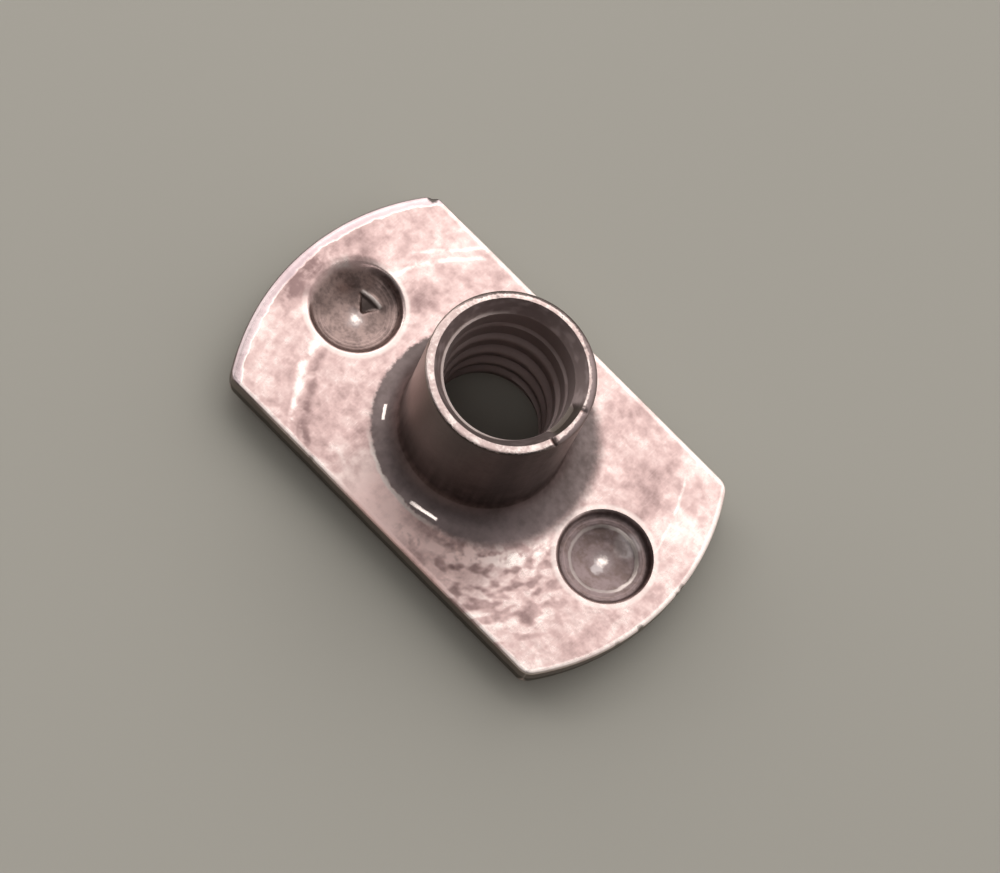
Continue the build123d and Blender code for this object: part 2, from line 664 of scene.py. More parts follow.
def threaded_bore(steel):
    """Mesh of the tapped bore. Its rows of points follow the helix, so every crest is one row."""
    sizes = thread_sizes()
    tree, identifiers = thread_tree(sizes)
    carrier = bpy.data.objects.new("bore_carrier", bpy.data.meshes.new("bore_carrier"))
    bpy.context.scene.collection.objects.link(carrier)
    modifier = carrier.modifiers.new("thread", "NODES")
    modifier.node_group = tree
    for name, number in sizes.items():
        modifier[identifiers[name]] = number
    modifier[identifiers["Steel"]] = steel
    evaluated = carrier.evaluated_get(bpy.context.evaluated_depsgraph_get())
    bore = bpy.data.meshes.new_from_object(evaluated)
    carrier.modifiers.remove(modifier)
    bpy.data.objects.remove(carrier)
    return bore


def add_bore(shell, steel):
    bore = threaded_bore(steel)
    shell.add([vertex.co for vertex in bore.vertices], [face.vertices for face in bore.polygons])
    bpy.data.meshes.remove(bore)


def cloudy(points, size):
    """Noise from -1 to 1 at each point, with patches of about the given size."""
    return np.array([noise.noise(Vector(point) / size) for point in points])


def wear_sheet(points):
    """Makes the upper face uneven and slopes off its left end."""
    x, y, z = points.T
    radius = np.hypot(x, y)
    edge = np.minimum(flange_width / 2 - np.abs(y), flange_length / 2 - radius)
    on_top = np.flatnonzero((z > upper_face - pit_mesh_step) & (radius > foot_edge_radius) & (edge > 0))
    flat = np.column_stack((points[on_top, :2], np.zeros(len(on_top))))
    share = eased_step(edge[on_top], *uneven_edge_band) * eased_step(radius[on_top], *uneven_foot_band)
    waves = uneven_depth * cloudy(flat, uneven_size) + dimple_depth * cloudy(flat, dimple_size)
    points[on_top, 2] += share * waves
    slope = eased_step(radius, *end_slope_band) * (x < 0)
    points[:, 2] -= end_slope_drop * slope * eased_step(z, lower_face, upper_face)


def wear_outline(points):
    """Cuts the chips into the punched edge."""
    for place, reach, depth in outline_chips:
        away = points[:, :2] - np.array(place)
        share = 1 - np.clip(np.hypot(away[:, 0], away[:, 1]) / reach, 0, 1)
        inward = -np.array(place) / np.linalg.norm(place)
        high = eased_step(points[:, 2], lower_face, upper_face)
        points[:, :2] += inward * (depth * share * high)[:, None]


def wear_rim(points):
    """Cuts the nicks into the rim and frays its outer edge."""
    x, y, z = points.T
    radius = np.hypot(x, y)
    turn = np.arctan2(y, x)
    near_rim = eased_step(z, *rim_wear_band) * (radius > taper_radius)
    for degrees, width, depth in rim_nicks:
        swing = np.angle(np.exp(1j * (turn - math.radians(degrees)))) * radius
        points[:, 2] -= depth * near_rim * np.exp(-((swing / width) ** 2))
    fray = np.flatnonzero((z > rim_face - rim_flake_height) & (radius > rim_flake_radius))
    facing = eased_step(np.cos(turn[fray] - rim_flake_turn), 0, 1)
    amount = rim_flake_least_share + (1 - rim_flake_least_share) * facing
    flakes = np.clip(cloudy(points[fray], rim_flake_size) + rim_flake_spread, 0, 1)
    amount *= rim_flake_depth * near_rim[fray] * flakes
    points[fray, :2] *= 1 - (amount / radius[fray])[:, None]


def wear(mesh):
    points = np.empty(3 * len(mesh.vertices))
    mesh.vertices.foreach_get("co", points)
    points = points.reshape(-1, 3) / MM
    wear_sheet(points)
    wear_outline(points)
    wear_rim(points)
    mesh.vertices.foreach_set("co", (points * MM).ravel())


def nut_body(steel):
    """The whole nut as one closed skin."""
    shell = Shell()
    add_flange(shell)
    add_barrel(shell)
    add_bore(shell, steel)
    add_flare(shell)
    mesh = bpy.data.meshes.new("nut_body")
    mesh.from_pydata(np.array(shell.points) * MM, [], shell.faces)
    skin = bmesh.new()
    skin.from_mesh(mesh)
    bmesh.ops.remove_doubles(skin, verts=skin.verts, dist=weld_distance * MM)
    bmesh.ops.recalc_face_normals(skin, faces=skin.faces)
    skin.to_mesh(mesh)
    skin.free()
    wear(mesh)
    mesh.shade_smooth()
    mesh.set_sharp_from_angle(angle=sharp_angle)
    mesh.materials.append(steel)
    body = bpy.data.objects.new("nut_body", mesh)
    bpy.context.scene.collection.objects.link(body)
    return body


# Colours of the steel: burnished high places, the duller skin between them and the drawn surfaces; some
# serve as painted shade, sheen and light
burnished = (0.9, 0.77, 0.71, 1)
rosy_burnished = (0.98, 0.73, 0.68, 1)
half_burnished = (0.64, 0.445, 0.415, 1)
dull_skin = (0.29, 0.187, 0.177, 1)
end_slope_colour = (0.62, 0.485, 0.5, 1)
rim_skin = (0.54, 0.405, 0.375, 1)
shoulder_painted_light = (0.36, 0.27, 0.262, 1)
drawn_dark = (0.125, 0.095, 0.086, 1)
painted_shade_colour = (0.09, 0.069, 0.063, 1)
drawn_light = (0.235, 0.183, 0.171, 1)
painted_sheen_colour = (0.58, 0.45, 0.41, 1)
foot_skin_and_painted_light = (0.31, 0.24, 0.235, 1)
pit_dark = (0.18, 0.127, 0.115, 1)
pit_patch_and_highlight = (0.62, 0.54, 0.53, 1)
thread_root_colour = (0.34, 0.265, 0.25, 1)
thread_crest_colour = (0.46, 0.37, 0.35, 1)
mouth_colour = (0.29, 0.218, 0.205, 1)
mouth_smear_and_painted_light = (0.56, 0.45, 0.43, 1)
sheared_colour = (0.28, 0.228, 0.2, 1)
broken_colour = (0.15, 0.13, 0.11, 1)
chip_colour = (0.07, 0.06, 0.052, 1)
torn_steel_and_painted_shade = (0.1, 0.085, 0.06, 1)

# What the finishes share: sizes of the noise, how busy its fine and middle kinds are, and zones
fine_size = 0.16
mid_size = 0.6
drift_size = 1.7
busy = {"detail": 2.0, "roughness": 0.6}
grain_fine_share = 0.4
on_top_band = (lower_face + 0.3, lower_face + 0.45)
radius_least = 0.01


class Surface:
    """Where a point of the nut lies, in millimetres, and the noise there."""

    def __init__(self, graph):
        self.graph = graph
        given = graph.value(graph.add("ShaderNodeTexCoord"), "Object")
        self.place = graph.stretch(given, (1 / MM, 1 / MM, 1 / MM))
        self.x, self.y, self.z = graph.split(self.place)
        self.flat = graph.join(self.x, self.y, 0.0)
        self.radius = graph.most(graph.root(self.x * self.x + self.y * self.y), radius_least)
        self.edge = graph.least(flange_width / 2 - abs(self.y), flange_length / 2 - self.radius)
        self.on_top = graph.rise(self.z, *on_top_band)
        self.fine = graph.cloud(self.place, fine_size, **busy)
        self.mid = graph.cloud(self.place, mid_size, **busy)
        self.grain = self.mid * (1 - grain_fine_share) + self.fine * grain_fine_share
        self.drift = graph.cloud(self.flat, drift_size)

    def side(self, toward, low, high):
        """1 on the side of the thread axis that faces the direction, by the cosines low and high."""
        toward_x, toward_y = toward
        return self.graph.rise((self.x * toward_x + self.y * toward_y) / self.radius, low, high)

    def off(self, place):
        """Distance from a place on the flange, as seen from above."""
        return self.graph.distance(self.flat, (*place, 0))


class Finish:
    """Colour, roughness and relief in millimetres, built up zone over zone."""

    def __init__(self, graph, colour, rough, relief):
        self.graph = graph
        self.colour = colour
        self.rough = rough
        self.relief = relief

    def lay(self, share, colour, rough=None, relief=None):
        """Puts another finish over this one where the share is 1."""
        self.colour = self.graph.tint(share, self.colour, colour)
        if rough is not None:
            self.rough = self.rough + share * (rough - self.rough)
        if relief is not None:
            self.relief = self.relief + share * (relief - self.relief)


def sway(cloud, reach):
    """A number that follows the noise, to half the reach either way."""
    return (cloud - 0.5) * reach


# Broad lighter and darker places on the upper face, as place, reach and how much lighter
tone_places = (
    ((-7.4, 5.2), 3.4, 0.03),
    ((0.5, 6.0), 3.5, 0.06),
    ((9.9, 3.8), 2.2, 0.2),
    ((11.2, 0.8), 1.4, 0.06),
    ((8.4, 6.1), 1.6, 0.16),
    ((-10.2, -4.0), 2.4, 0.06),
    ((-5.0, -4.8), 2.6, -0.14),
    ((-11.1, -1.6), 1.4, -0.2),
    ((-11.2, -0.5), 1.7, -0.26),
    ((-10.6, 2.6), 1.6, -0.22),
    ((-6.5, 2.5), 1.3, -0.24),
    ((7.6, 4.1), 2.6, -0.14),
    ((5.2, -4.8), 3.0, -0.04),
    # The last place is a painted highlight on the strip beside the barrel, where the barrel hides the
    # lamps' reflection
    ((-1.2, -6.3), 3.2, 0.34),
)
tone_place_core_share = 0.2
tone_place_stray_x = 1.8
tone_place_stray_y = 1.2
bright_edge_band = (0.3, 0.16)
bright_edge_tone = 0.3
# Dark patches in rows round the barrel, which are strongest round one place
patch_rows_per_mm = 2.3
patch_turns = 11
patch_band = (0.4, 0.66)
patch_tone = 0.08
patchy_place = (5.4, -4.8)
patchy_reach = 4.4
patchy_core_share = 0.4
patchy_patch_tone = 0.36
patchy_lift = 0.12
# Arcs that the drawing tools left round the barrel, as radius, width, degrees, half angle and tone
tool_arcs = (
    (8.75, 0.26, -148, 24, 0.42),
    (8.2, 0.4, -145, 22, -0.3),
    (8.6, 0.2, 149, 18, 0.3),
    (9.15, 0.16, 144, 14, 0.28),
    (9.9, 0.1, 22, 14, 0.22),
    (6.25, 0.6, -50, 42, 0.42),
)
tool_arc_stray = 0.6
tool_arc_break_band = (0.3, 0.56)
# Thin straight scratches, as degrees, width and length
hairlines = ((24, 0.05, 1.6), (-48, 0.045, 1.2))
hairline_band = (0.68, 0.76)
hairline_tone = 0.05


def scratches(graph, at, degrees, width, length):
    """Thin straight marks, from 0 to 1, that run in one direction."""
    turned = graph.add(
        "ShaderNodeMapping",
        None,
        {"Vector": at.flat, "Rotation": (0, 0, math.radians(degrees)), "Scale": (1 / width, 1 / length, 1)},
    )
    return graph.rise(graph.cloud(graph.value(turned), 1.0, detail=0.0), *hairline_band)


def tone_marks(graph, at):
    """How much lighter or darker the upper face is for its broad places, patches, arcs and scratches."""
    strayed_x = at.x + sway(at.drift, tone_place_stray_x)
    strayed = graph.join(strayed_x, at.y + sway(at.mid, tone_place_stray_y), 0.0)
    marks = graph.rise(at.edge, *bright_edge_band) * bright_edge_tone
    for place, reach, tone in tone_places:
        off = graph.distance(strayed, (*place, 0))
        marks = marks + graph.rise(off, reach, reach * tone_place_core_share) * tone
    turned_x = at.x / at.radius * patch_turns
    turned_y = at.y / at.radius * patch_turns
    patches = graph.cloud(graph.join(at.radius * patch_rows_per_mm, turned_x, turned_y), 1.0)
    patches = graph.rise(patches, *patch_band)
    off = graph.distance(strayed, (*patchy_place, 0))
    patchy = graph.rise(off, patchy_reach, patchy_reach * patchy_core_share)
    marks = marks + patchy * (patchy_lift - patches * patchy_patch_tone) - patches * patch_tone
    for arc_radius, width, degrees, half_angle, tone in tool_arcs:
        off = abs(at.radius + sway(at.drift, tool_arc_stray) - arc_radius)
        end = math.cos(math.radians(half_angle))
        arc = graph.rise(off, width, 0.0) * at.side(heading(math.radians(degrees)), end, (1 + end) / 2)
        marks = marks + arc * graph.rise(at.mid, *tool_arc_break_band) * tone
    first, second = [scratches(graph, at, *hairline) for hairline in hairlines]
    return marks + graph.most(first, second) * hairline_tone


# The left end: a slope along the outline, a bright line at its foot, a scuff inside that and a painted dark
# reflection along its edge
left_end_band = (-6.5, -8.5)
end_stray = 0.3
end_colour_band = (11.4, 11.46)
end_colour_share = 0.75
end_line_radius = 11.43
end_line_band = (0.09, 0.02)
end_line_tone = 0.45
scuff_radius = 11.1
scuff_radius_band = (0.5, 0.1)
scuff_middle_y = -0.4
scuff_length_band = (2.4, 1.2)
scuff_patch_band = (0.35, 0.62)
scuff_tone = 0.3
painted_dark_edge_band = (0.09, 0.03)
painted_dark_edge_share = 0.85
# Tone of the sheet, from 0 for its dull skin to 1 for burnished steel
sheet_tone = 0.55
mottle_size = 0.5
mottle_detail = 3.0
mottle_roughness = 0.6
mottle_tone = 0.66
drift_tone = 0.5
half_burnished_band = (0.0, 0.6)
burnished_band = (0.42, 0.95)
# The strip between the barrel and the flat on the -Y side, which is rosier and rougher
strip_place = (1.2, -6.0)
strip_band = (5.5, 2.5)
strip_rough = 0.3
# The dark bottoms of the chips on the outline
chip_stray = 0.2
chip_core_share = 0.6
chip_height_band = (upper_face - 0.7, upper_face - 0.4)
chip_share_per_depth = 8
# Roughness and relief of the sheet
dull_rough = 0.36
burnish_smoothing = 0.14
rough_edge_band = (0.2, 0.1)
rough_edge = 0.2
sheet_mid_relief = 0.012
sheet_fine_relief = 0.0015


def flange_finish(graph, at):
    """The rolled sheet: burnished by tumbling, duller in its hollows and along the left end, with a painted
    dark reflection on that end's edge and a painted highlight beside the barrel.
    """
    left_end = graph.rise(at.x, *left_end_band) * at.on_top
    jagged = at.radius + sway(at.drift, end_stray) + sway(at.mid, end_stray)
    end_line = graph.rise(abs(jagged - end_line_radius), *end_line_band) * left_end
    scuff = graph.rise(abs(jagged - scuff_radius), *scuff_radius_band) * left_end
    scuff = scuff * graph.rise(abs(at.y - scuff_middle_y), *scuff_length_band)
    scuff = scuff * (graph.rise(at.mid, *scuff_patch_band) * scuff_tone + sway(at.fine, scuff_tone))
    marks = tone_marks(graph, at) - scuff + end_line * end_line_tone
    mottle = graph.cloud(at.place, mottle_size, mottle_detail, mottle_roughness)
    tone = sheet_tone + sway(mottle, mottle_tone) + sway(at.drift, drift_tone)
    tone = graph.within(tone + marks * at.on_top, 0.0, 1.0)
    strip = graph.rise(at.off(strip_place), *strip_band)
    colour = graph.tint(graph.rise(tone, *half_burnished_band), dull_skin, half_burnished)
    brightest = graph.tint(strip, burnished, rosy_burnished)
    colour = graph.tint(graph.rise(tone, *burnished_band), colour, brightest)
    end_slope = graph.rise(jagged, *end_colour_band) * left_end
    colour = graph.tint(end_slope * end_colour_share, colour, end_slope_colour)
    # Painted dark reflection along the left end's edge
    painted_dark_edge = graph.rise(at.edge, *painted_dark_edge_band) * left_end
    colour = graph.tint(painted_dark_edge * painted_dark_edge_share, colour, drawn_light)
    for place, reach, depth in outline_chips:
        inward = 1 - depth / math.hypot(*place)
        off = at.off((place[0] * inward, place[1] * inward)) + sway(at.fine, chip_stray)
        dark = graph.rise(off, reach, reach * chip_core_share) * graph.rise(at.z, *chip_height_band)
        colour = graph.tint(dark * min(1, chip_share_per_depth * depth), colour, chip_colour)
    rough = dull_rough - tone * burnish_smoothing + strip * strip_rough
    rough = rough + graph.rise(at.edge, *rough_edge_band) * rough_edge
    relief = sway(at.mid, sheet_mid_relief) + sway(at.fine, sheet_fine_relief)
    return Finish(graph, colour, rough, relief)


# The punched side of the sheet, with upright streaks
edge_face_band = (0.14, 0.06)
edge_face_height_band = (upper_face - 0.06, upper_face - 0.2)
edge_streak_stretch = (1.0, 1.0, 0.16)
edge_streak_size = 0.12
edge_streak_band = (0.55, 0.8)
edge_streak_share = 0.3
edge_streak_relief = 0.02
broken_band = (lower_face + 0.75, lower_face + 0.6)
broken_stray = 0.3
broken_relief = 0.05
sheared_rough = 0.42
broken_extra_rough = 0.15


def punched_edge(graph, finish, at):
    """The side of the sheet: sheared smooth under the roll, then broken off."""
    share = graph.rise(at.edge, *edge_face_band) * graph.rise(at.z, *edge_face_height_band)
    streaks = graph.cloud(graph.stretch(at.place, edge_streak_stretch), edge_streak_size)
    broken = graph.rise(at.z + sway(at.mid, broken_stray), *broken_band)
    colour = graph.tint(broken, sheared_colour, broken_colour)
    colour = graph.tint(graph.rise(streaks, *edge_streak_band) * edge_streak_share, colour, drawn_light)
    relief = sway(streaks, edge_streak_relief) + broken * sway(at.mid, broken_relief)
    finish.lay(share, colour, sheared_rough + broken * broken_extra_rough, relief)


# The pits, the left one at -1 and the right one at 1: floor colours and the painted highlights on them
pit_colour = {-1: (0.325, 0.23, 0.205, 1), 1: (0.25, 0.185, 0.18, 1)}
pit_highlight_place = {-1: (-7.98, -0.15), 1: (8.29, -0.04)}
pit_edge_radius = left_pit_profile[-1][0]
pit_edge_band = (pit_edge_radius + 0.03, pit_edge_radius - 0.08)
pit_stray = 0.14
pit_patch_band = (0.34, 0.62)
pit_rough = 0.4
pit_relief = 0.016
# A burnished ring just outside the pit's edge, painted as a highlight
pit_halo_radius = pit_edge_radius + 0.16
pit_halo_band = (0.22, 0.04)
pit_halo_share = 0.6
# Where the left pit's lip is soft, its colour starts further out and is full further in
lip_start_shift = 0.1
lip_full_shift = 0.4
# Fine rings that the punch left, on the left pit's wall and the right pit's step
punch_ring_turns = 34
punch_ring_band = (0.3, 1.0)
punch_ring_share = 0.2
punch_ring_relief = 0.002
left_ringed_band = (1.3, 1.7)
right_ringed_radius = 1.95
right_ringed_band = (0.25, 0.1)
right_ringed_share = 0.6
# The painted highlights: a smear and a smoother glow at its middle
spot_smear_stray = 0.8
spot_smear_band = (0.7, 0.1)
spot_smear_share = 0.3
spot_glow_stray = 0.5
spot_glow_band = (0.36, 0.0)
spot_glow_smoothing = 0.12
# Lighter and darker patches on the right pit's floor, as place, reach and colour
right_pit_patches = (
    ((8.6, 1.3), 0.75, pit_patch_and_highlight),
    ((8.3, 0.95), 0.5, pit_dark),
    ((9.1, 0.4), 0.55, pit_dark),
    ((8.3, -0.35), 0.4, pit_patch_and_highlight),
)
right_patch_stray = 0.9
right_patch_core_share = 0.4
right_patch_share = 0.6
# The burnished ring on the right pit's floor, painted as a highlight that is brightest towards +X and +Y
right_ring_radius = 1.6
right_ring_band = (0.12, 0.02)
right_ring_least_share = 0.35
right_ring_highlight_band = (0.0, 1.2)
# The gouge: painted shade on its floor, and a painted highlight on the burr that stands beside its long
# side
gouge_shade_band = (0.0, gouge_lip / 2)
gouge_shade_share = 0.85
burr_highlight_offset = 0.06
burr_highlight_band = (0.12, 0.03)
burr_highlight_length_band = (0.1, 0.5)


def gouge_shares(graph, at):
    """Where the painted shade lies on the floor of the left pit's gouge, and the painted highlight on the
    burr along its long side.
    """
    along, across, length, span, corner_along = gouge_frame()
    from_x = at.x - gouge_start[0]
    from_y = at.y - gouge_start[1]
    u = from_x * along[0] + from_y * along[1]
    v = from_x * across[0] + from_y * across[1]
    bow = graph.most(graph.math("SINE", graph.within(u / length, 0.0, 1.0) * math.pi), 0.0)
    v = v + bow * gouge_lip
    share = v / span
    left = u - share * corner_along
    right = length + share * (corner_along - length) - u
    gouge_painted_shade = graph.rise(graph.least(left, right), 0.0, gouge_side_width) * graph.rise(v, *gouge_shade_band)
    burr = graph.rise(abs(v + burr_highlight_offset), *burr_highlight_band) * graph.rise(bow, *burr_highlight_length_band)
    return gouge_painted_shade, burr


def left_lip_share(graph, at, from_pit):
    """1 on the side of the left pit whose edge is soft, as left_lip gives it for the mesh."""
    toward_x, toward_y = left_lip_toward
    facing = (at.x + projection_offset) * toward_x + at.y * toward_y
    lip = graph.rise(facing / graph.most(from_pit, radius_least), *left_lip_band)
    return lip * graph.rise(from_pit, *left_lip_distance_band)


def right_pit_floor(graph, at, colour, from_pit, wavering):
    """The floor's colour with its patches and its burnished ring, a painted highlight brightest on one
    side.
    """
    for place, reach, patch_colour in right_pit_patches:
        off = at.off(place) + sway(at.mid, right_patch_stray)
        patch = graph.rise(off, reach, reach * right_patch_core_share) * right_patch_share
        colour = graph.tint(patch, colour, patch_colour)
    facing = (at.y + at.x - projection_offset) / graph.most(from_pit, radius_least)
    ring_highlight_facing = graph.rise(facing, *right_ring_highlight_band) * (1 - right_ring_least_share)
    painted_ring_highlight = graph.rise(abs(wavering - right_ring_radius), *right_ring_band)
    return graph.tint(painted_ring_highlight * (ring_highlight_facing + right_ring_least_share), colour, burnished)


def punch_pit(graph, finish, at, side):
    """The floor and wall of a pit, which the tumbling did not reach, with painted highlights, and painted
    shade in the left pit's gouge.
    """
    from_pit = at.off((side * projection_offset, 0))
    wavering = from_pit + sway(at.mid, pit_stray)
    rings = graph.math("SINE", wavering * punch_ring_turns)
    painted_halo = graph.rise(abs(from_pit - pit_halo_radius), *pit_halo_band)
    colour = graph.tint(graph.rise(at.grain, *pit_patch_band), pit_dark, pit_colour[side])
    start, full = pit_edge_band
    if side < 0:
        lip = left_lip_share(graph, at, from_pit)
        start = start + lip * lip_start_shift
        full = full - lip * lip_full_shift
        painted_halo = painted_halo * (1 - lip)
        ringed = graph.rise(from_pit, *left_ringed_band) * (1 - lip)
    else:
        ringed = graph.rise(abs(from_pit - right_ringed_radius), *right_ringed_band) * right_ringed_share
        colour = right_pit_floor(graph, at, colour, from_pit, wavering)
    inside = graph.rise(wavering, start, full)
    ring_light = ringed * graph.rise(rings, *punch_ring_band) * punch_ring_share
    colour = graph.tint(ring_light, colour, half_burnished)
    # Painted highlight on the pit's floor: a lighter smear and a burnished glow
    from_highlight = at.off(pit_highlight_place[side])
    painted_smear = graph.rise(from_highlight + sway(at.mid, spot_smear_stray), *spot_smear_band)
    colour = graph.tint(painted_smear * spot_smear_share, colour, pit_patch_and_highlight)
    painted_glow = graph.rise(from_highlight + sway(at.fine, spot_glow_stray), *spot_glow_band)
    colour = graph.tint(painted_glow, colour, burnished)
    if side < 0:
        # Painted shade in the gouge and a painted highlight on its burr
        gouge_painted_shade, burr = gouge_shares(graph, at)
        colour = graph.tint(gouge_painted_shade * gouge_shade_share, colour, drawn_dark)
        colour = graph.tint(burr, colour, burnished)
    # Painted highlight round the pit's edge
    finish.lay(painted_halo * at.on_top * pit_halo_share, burnished)
    relief = rings * ringed * punch_ring_relief + sway(at.mid, pit_relief)
    finish.lay(inside * at.on_top, colour, pit_rough - painted_glow * spot_glow_smoothing, relief)


# The dark ring on the foot, which reaches further out on one side as a painted shadow of the barrel, and
# painted light on the foot's front and left
foot_ring_start = foot_edge_radius - 0.16
foot_ring_full = foot_edge_radius - 0.36
foot_painted_shadow_side = ((0.97, 0.1), 0.0, 0.9)
painted_shadow_start_reach = 0.9
painted_shadow_full_reach = 0.3
foot_fine_stray = 0.25
foot_mid_stray = 0.2
foot_height_band = (upper_face - 0.08, upper_face - 0.04)
foot_painted_light_front_side = ((0.5, -0.87), 0.1, 0.9)
foot_painted_light_left_side = ((-0.87, -0.5), 0.6, 0.98)
foot_painted_light_left_share = 0.45
foot_painted_shade_side = ((-0.64, 0.77), 0.1, 0.9)
foot_painted_shade_share = 0.55
foot_least_tone = 0.35
foot_tone_share = 0.7
foot_tone_mottle = 0.8
# The outside of the tube above the crease, with upright lines from drawing, a painted sheen on one side and
# painted shade on its front
crease_band = (foot_top - 0.6, foot_top - 0.5)
draw_line_stretch = (1.0, 1.0, 0.06)
draw_line_size = 0.25
draw_line_share = 0.35
draw_mid_share = 0.45
draw_fine_share = 0.2
draw_tone_band = (0.34, 0.7)
draw_line_relief = 0.005
drawn_fine_relief = 0.005
foot_rough = 0.52
barrel_smoothing = 0.14
drawn_rough_stray = 0.14
painted_sheen_side = ((-0.8, -0.6), 0.45, 0.95)
painted_sheen_height_band = (foot_top + 0.4, foot_top + 3.4)
painted_sheen_share = 0.78
painted_shade_side = ((0.35, -0.94), 0.5, 0.95)
painted_shade_height_band = (foot_top + 0.2, foot_top + 2.0)
painted_shade_share = 0.75


def drawn_barrel(graph, finish, at, painted_shadow_spread):
    """The foot and the outside of the tube, dark from the drawing die, with painted shade, a painted sheen,
    painted light on the foot and a painted shadow of the barrel.
    """
    ragged = at.radius + sway(at.fine, foot_fine_stray) + sway(at.mid, foot_mid_stray)
    # The ring reaches further out on one side as a painted shadow of the barrel
    ring_start = foot_ring_start + painted_shadow_spread * painted_shadow_start_reach
    ring_full = foot_ring_full + painted_shadow_spread * painted_shadow_full_reach
    share = graph.rise(ragged, ring_start, ring_full) * graph.rise(at.z, *foot_height_band)
    lines = graph.cloud(graph.stretch(at.place, draw_line_stretch), draw_line_size)
    draw_tone = lines * draw_line_share + at.mid * draw_mid_share + at.fine * draw_fine_share
    colour = graph.tint(graph.rise(draw_tone, *draw_tone_band), drawn_dark, drawn_light)
    on_barrel = graph.rise(at.z, *crease_band)
    # Painted light on the front and left of the foot, over its lighter skin
    painted_foot_light = graph.most(at.side(*foot_painted_light_front_side), at.side(*foot_painted_light_left_side) * foot_painted_light_left_share)
    foot_tone = (foot_least_tone + painted_foot_light * (1 - foot_least_tone)) * (1 - on_barrel)
    foot_tone = foot_tone * (foot_tone_share + sway(at.mid, foot_tone_mottle))
    colour = graph.tint(foot_tone, colour, foot_skin_and_painted_light)
    # Painted shade on the back of the foot
    foot_painted_shade = at.side(*foot_painted_shade_side) * (1 - on_barrel)
    colour = graph.tint(foot_painted_shade * foot_painted_shade_share, colour, painted_shade_colour)
    # Painted sheen on the upper left of the tube
    painted_sheen = at.side(*painted_sheen_side) * graph.rise(at.z, *painted_sheen_height_band)
    colour = graph.tint(painted_sheen * painted_sheen_share, colour, painted_sheen_colour)
    # Painted shade on the front of the tube
    painted_shade = at.side(*painted_shade_side) * graph.rise(at.z, *painted_shade_height_band)
    colour = graph.tint(painted_shade * painted_shade_share, colour, painted_shade_colour)
    rough = foot_rough - on_barrel * barrel_smoothing + sway(at.fine, drawn_rough_stray)
    relief = sway(lines, draw_line_relief) * on_barrel + sway(at.fine, drawn_fine_relief)
    finish.lay(share, colour, rough, relief)


# A painted highlight: the bright line along the dark ring's edge, on one side of it
foot_line_radius = foot_edge_radius - 0.2
foot_line_spread = 0.6
foot_line_stray = 0.4
foot_line_band = (0.14, 0.03)
foot_line_side = ((-0.17, -0.98), 0.8, 0.97)
foot_line_height_band = (upper_face - 0.04, upper_face)
foot_line_share = 0.8
foot_line_rough = 0.3
# Painted glints on the foot, burnished strips that catch the lamps, as degrees round it, radius, half
# length and half width
foot_painted_glints = ((-142.9, 4.6, 0.42, 0.09), (-78.6, 4.87, 0.8, 0.1))
glint_stray = 0.16
glint_core_width_share = 0.5
glint_core_length_share = 0.85
glint_height_band = (upper_face, upper_face + 0.05)
glint_rough = 0.24


def foot_marks(graph, finish, at, painted_shadow_spread):
    """Painted highlights on the foot: a bright line beside the dark ring, and the painted glints."""
    # Painted highlight beside the dark ring
    off = abs(at.radius + sway(at.mid, foot_line_stray) - foot_line_radius - painted_shadow_spread * foot_line_spread)
    painted_foot_highlight = graph.rise(off, *foot_line_band) * at.side(*foot_line_side)
    painted_foot_highlight = painted_foot_highlight * graph.rise(at.z, *foot_line_height_band)
    finish.lay(painted_foot_highlight * foot_line_share, burnished, foot_line_rough)
    # Painted glints, as burnished strips
    for degrees, glint_radius, length, width in foot_painted_glints:
        toward_x, toward_y = heading(math.radians(degrees))
        across = abs(at.x * toward_x + at.y * toward_y - glint_radius + sway(at.mid, glint_stray))
        along = abs(at.y * toward_x - at.x * toward_y)
        painted_glint = graph.rise(across, width, width * glint_core_width_share)
        painted_glint = painted_glint * graph.rise(along, length, length * glint_core_length_share)
        finish.lay(painted_glint * graph.rise(at.z, *glint_height_band), burnished, glint_rough, 0.0)


# The top of the rim, and the shoulder outside it where the rounding is widest, lightened there as painted
# light
rim_round_side = ((0.0, 1.0), *rim_round_band)
rim_fine_stray = 0.2
rim_mid_stray = 0.14
rim_flat_start = 0.08
rim_flat_full = 0.02
rim_height_band = (rim_face - 0.12, rim_face - 0.04)
rim_patch_band = (0.42, 0.68)
rim_fine_speck_band = (0.63, 0.72)
rim_mid_speck_band = (0.5, 0.62)
rim_speck_share = 0.8
rim_rough = 0.28
shoulder_side = ((0.87, 0.5), 0.5, 0.95)
shoulder_height_band = (rim_face - 0.45, rim_face - 0.25)
shoulder_width = 0.09
shoulder_painted_light_share = 0.7
shoulder_rough = 0.5


def worn_rim(graph, finish, at):
    """The flat top of the rim, which is bright, and narrower where its outer edge is rounded, with painted
    light on the shoulder outside it.
    """
    shoulder = at.side(*shoulder_side)
    # Painted light on the shoulder
    painted_shoulder_light = shoulder * graph.rise(at.z, *shoulder_height_band)
    finish.lay(painted_shoulder_light * shoulder_painted_light_share, shoulder_painted_light, shoulder_rough)
    lean = at.side(*rim_round_side) * (rim_round_most - rim_round_least)
    flat_edge = barrel_radius - (rim_round_least + lean + shoulder * shoulder_width)
    ragged = at.radius + sway(at.fine, rim_fine_stray) + sway(at.mid, rim_mid_stray)
    top = graph.rise(ragged, flat_edge + rim_flat_start, flat_edge + rim_flat_full)
    top = top * graph.rise(at.z, *rim_height_band)
    colour = graph.tint(graph.rise(at.grain, *rim_patch_band), rim_skin, burnished)
    specks = graph.rise(at.fine, *rim_fine_speck_band) * graph.rise(at.mid, *rim_mid_speck_band)
    finish.lay(top, graph.tint(specks * rim_speck_share, colour, drawn_dark), rim_rough)


